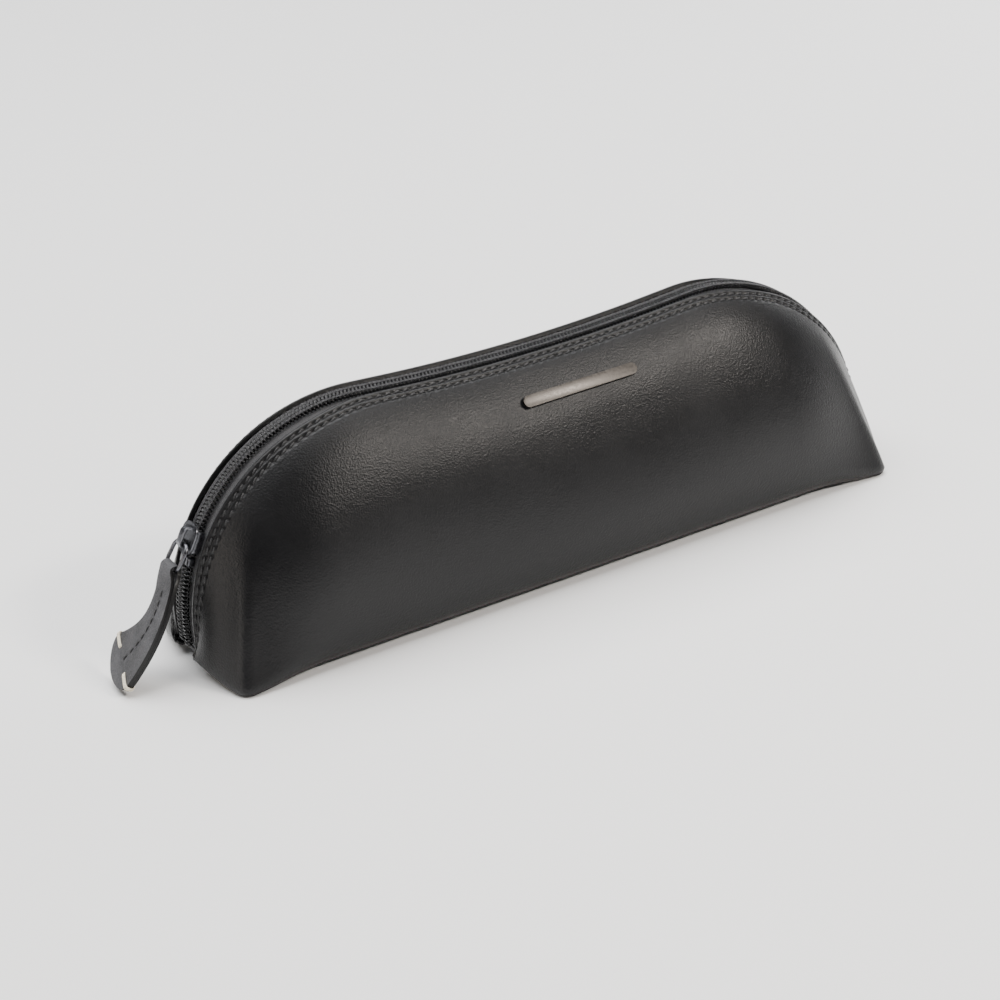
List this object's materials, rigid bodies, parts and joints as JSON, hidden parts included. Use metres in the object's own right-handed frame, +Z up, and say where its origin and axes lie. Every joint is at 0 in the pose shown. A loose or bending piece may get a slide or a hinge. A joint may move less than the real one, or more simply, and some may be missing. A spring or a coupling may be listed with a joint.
{
  "type": "fountain pen case",
  "caption": "Half-moon leather pen case on a boxed foot, with a coil zip over its top, a slider with a wire link and leather tab, and a plain bar badge.",
  "frame": {"origin": "on the table, under the middle of the foot", "axes": "+X along the case away from the slider, +Y from the front wall to the back wall, +Z up"},
  "size_m": [0.258, 0.0586, 0.0686],
  "materials": {
    "leather": "smooth black full-grain, semi-matt",
    "lining": "dark grey woven lining",
    "board": "pressed fibre board",
    "zip_tape": "black woven polyester tape",
    "zip_coil": "black nylon monofilament",
    "black_thread": "black bonded sewing thread",
    "gunmetal": "polished gunmetal plating on zinc",
    "badge_metal": "satin gunmetal",
    "tab_leather": "dark grey waxed leather, burnished black edge",
    "pale_thread": "off-white waxed thread"
  },
  "bodies": {
    "foot": {"base_panel": "leather", "base_board": "board", "base_lining": "lining", "end_binding_left": "zip_tape", "end_binding_right": "zip_tape", "bottom_stop": "gunmetal"},
    "front_wall": {"front_panel": "leather", "front_lining": "lining", "front_tape": "zip_tape", "front_coil": "zip_coil", "front_top_stop": "gunmetal", "front_stitching": "black_thread", "badge_bar": "badge_metal", "badge_backing": "badge_metal"},
    "back_wall": {"back_panel": "leather", "back_lining": "lining", "back_tape": "zip_tape", "back_coil": "zip_coil", "back_top_stop": "gunmetal", "back_stitching": "black_thread"},
    "slider": {"slider_body": "gunmetal"},
    "link": {"pull_link": "gunmetal"},
    "tab": {"pull_tab": "tab_leather", "tab_stitching": "black_thread", "tab_bar_stitches": "pale_thread"}
  },
  "joints": [
    {"name": "front_wall_open", "type": "hinge", "parent": "foot", "child": "front_wall", "pos_m": [0, -0.029, 0], "axis": [1, 0, 0], "range_deg": [0, 15], "deforming": ["front_tape", "front_coil", "front_top_stop"]},
    {"name": "back_wall_open", "type": "hinge", "parent": "foot", "child": "back_wall", "pos_m": [0, 0.029, 0], "axis": [-1, 0, 0], "range_deg": [0, 15], "deforming": ["back_tape", "back_coil", "back_top_stop"]},
    {"name": "slider_travel", "type": "hinge", "parent": "front_wall", "child": "slider", "pos_m": [-0.061, 0, 0.0118], "axis": [0, 1, 0], "range_deg": [0, 66]},
    {"name": "pull_link_swing", "type": "hinge", "parent": "slider", "child": "link", "pos_m": [-0.11365, 0, 0.03781], "axis": [0, 1, 0], "range_deg": [0, 100]},
    {"name": "tab_swing", "type": "hinge", "parent": "link", "child": "tab", "pos_m": [-0.11821, 0, 0.03124], "axis": [0, 1, 0], "range_deg": [0, 50]}
  ]
}
